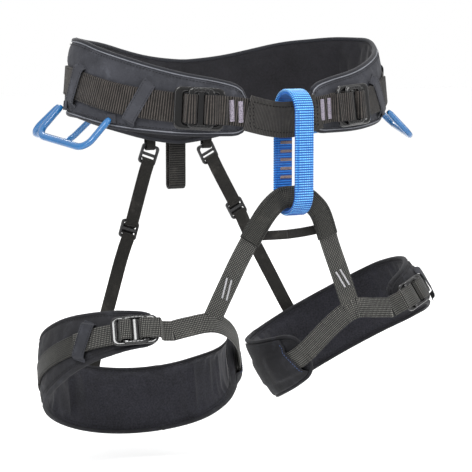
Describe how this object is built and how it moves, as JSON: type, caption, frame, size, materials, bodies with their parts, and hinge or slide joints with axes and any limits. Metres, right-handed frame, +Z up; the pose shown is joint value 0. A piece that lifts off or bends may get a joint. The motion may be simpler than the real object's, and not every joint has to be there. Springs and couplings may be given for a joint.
{
  "type": "climbing harness",
  "caption": "Padded sport climbing harness with two waist buckles, a belay loop, adjustable leg loops, elastic rear risers, gear loops and a haul loop.",
  "frame": {"origin": "centre of the waist opening, level with the middle of the belt webbing at its sides", "axes": "+Z up through the waist opening, -Y is the wearer's front with the belay loop, +X is the wearer's left"},
  "size_m": [0.4296, 0.2614, 0.4012],
  "materials": {
    "shell": "matte",
    "liner": "matte",
    "foam": "matte",
    "binding": "matte",
    "belt_webbing": "matte",
    "belay_webbing": "matte",
    "leg_webbing": "matte",
    "thread": "matte",
    "buckle": "gloss",
    "gear_loop": "gloss",
    "clip": "satin",
    "elastic": "matte",
    "leg_shell": "matte"
  },
  "bodies": {
    "waist_belt": {"waist_foam_core": "foam", "waist_outer_shell": "shell", "waist_liner": "liner", "waist_edge_binding": "binding", "waist_webbing": "belt_webbing", "front_belt_strap": "belt_webbing", "front_tie_in_webbing": "belt_webbing", "waist_keepers": "shell", "waist_bar_tacks": "thread", "waist_buckle_frame_right": "buckle", "waist_buckle_frame_left": "buckle", "waist_buckle_slider_right": "buckle", "waist_buckle_slider_left": "buckle", "gear_loop_anchors": "shell", "haul_loop_tack": "belt_webbing", "riser_anchor_loops": "belt_webbing", "riser_hook_right": "clip", "riser_hook_left": "clip", "riser_upper_right": "elastic", "riser_upper_left": "elastic", "riser_slider_right": "clip", "riser_slider_left": "clip"},
    "belay_loop": {"belay_loop_webbing": "belay_webbing", "belay_loop_bar_tacks": "thread"},
    "leg_loop_right": {"riser_lower_right": "elastic", "bridge_strap_right": "leg_webbing", "bridge_sleeve_right": "leg_webbing", "leg_foam_right": "foam", "leg_shell_right": "leg_shell", "leg_liner_right": "liner", "leg_binding_right": "leg_shell", "leg_webbing_right": "leg_webbing", "leg_front_strap_right": "leg_webbing", "leg_keeper_right": "leg_shell", "leg_buckle_frame_right": "buckle", "leg_buckle_slider_right": "buckle", "leg_joint_tacks_right": "thread", "bridge_keeper": "elastic"},
    "leg_loop_left": {"riser_lower_left": "elastic", "bridge_strap_left": "leg_webbing", "bridge_sleeve_left": "leg_webbing", "leg_foam_left": "foam", "leg_shell_left": "leg_shell", "leg_liner_left": "liner", "leg_binding_left": "leg_shell", "leg_webbing_left": "leg_webbing", "leg_front_strap_left": "leg_webbing", "leg_keeper_left": "leg_shell", "leg_buckle_frame_left": "buckle", "leg_buckle_slider_left": "buckle", "leg_joint_tacks_left": "thread"},
    "gear_loop_front_right_body": {"gear_loop_front_right": "gear_loop"},
    "gear_loop_rear_right_body": {"gear_loop_rear_right": "gear_loop"},
    "gear_loop_front_left_body": {"gear_loop_front_left": "gear_loop"},
    "gear_loop_rear_left_body": {"gear_loop_rear_left": "gear_loop"},
    "haul_loop_body": {"haul_loop": "belt_webbing"}
  },
  "joints": [
    {"name": "belay_loop_swing", "type": "hinge", "parent": "waist_belt", "child": "belay_loop", "pos_m": [0.01, -0.114, 0.0069], "axis": [1, 0, 0], "range_deg": [-2.5, 2.5]},
    {"name": "leg_loop_right_swing", "type": "hinge", "parent": "waist_belt", "child": "leg_loop_right", "pos_m": [0.01, -0.114, -0.0905], "axis": [1, 0, 0], "range_deg": [-8, 15], "stiffness_Nm_per_rad": 1.2, "springref_deg": 4.58, "deforming": ["riser_lower_right", "bridge_keeper"]},
    {"name": "leg_loop_left_swing", "type": "hinge", "parent": "waist_belt", "child": "leg_loop_left", "pos_m": [0.01, -0.114, -0.0905], "axis": [1, 0, 0], "range_deg": [-8, 15], "stiffness_Nm_per_rad": 1.2, "springref_deg": 4.58, "deforming": ["riser_lower_left"]},
    {"name": "gear_loop_front_right_hinge", "type": "hinge", "parent": "waist_belt", "child": "gear_loop_front_right_body", "pos_m": [-0.16408, -0.02169, -0.01064], "axis": [-0.2779, 0.9513, 0.1336], "range_deg": [-20, 35], "stiffness_Nm_per_rad": 0.25},
    {"name": "gear_loop_rear_right_hinge", "type": "hinge", "parent": "waist_belt", "child": "gear_loop_rear_right_body", "pos_m": [-0.13728, 0.06261, -0.01416], "axis": [0.7057, 0.6858, -0.1781], "range_deg": [-20, 35], "stiffness_Nm_per_rad": 0.25},
    {"name": "gear_loop_front_left_hinge", "type": "hinge", "parent": "waist_belt", "child": "gear_loop_front_left_body", "pos_m": [0.16408, -0.02169, -0.01064], "axis": [-0.2779, -0.9513, -0.1336], "range_deg": [-20, 35], "stiffness_Nm_per_rad": 0.25},
    {"name": "gear_loop_rear_left_hinge", "type": "hinge", "parent": "waist_belt", "child": "gear_loop_rear_left_body", "pos_m": [0.13728, 0.06261, -0.01416], "axis": [0.7057, -0.6858, 0.1781], "range_deg": [-20, 35], "stiffness_Nm_per_rad": 0.25},
    {"name": "haul_loop_swing", "type": "hinge", "parent": "waist_belt", "child": "haul_loop_body", "pos_m": [0, 0.12, -0.042], "axis": [1, 0, 0], "range_deg": [0, 40]}
  ]
}
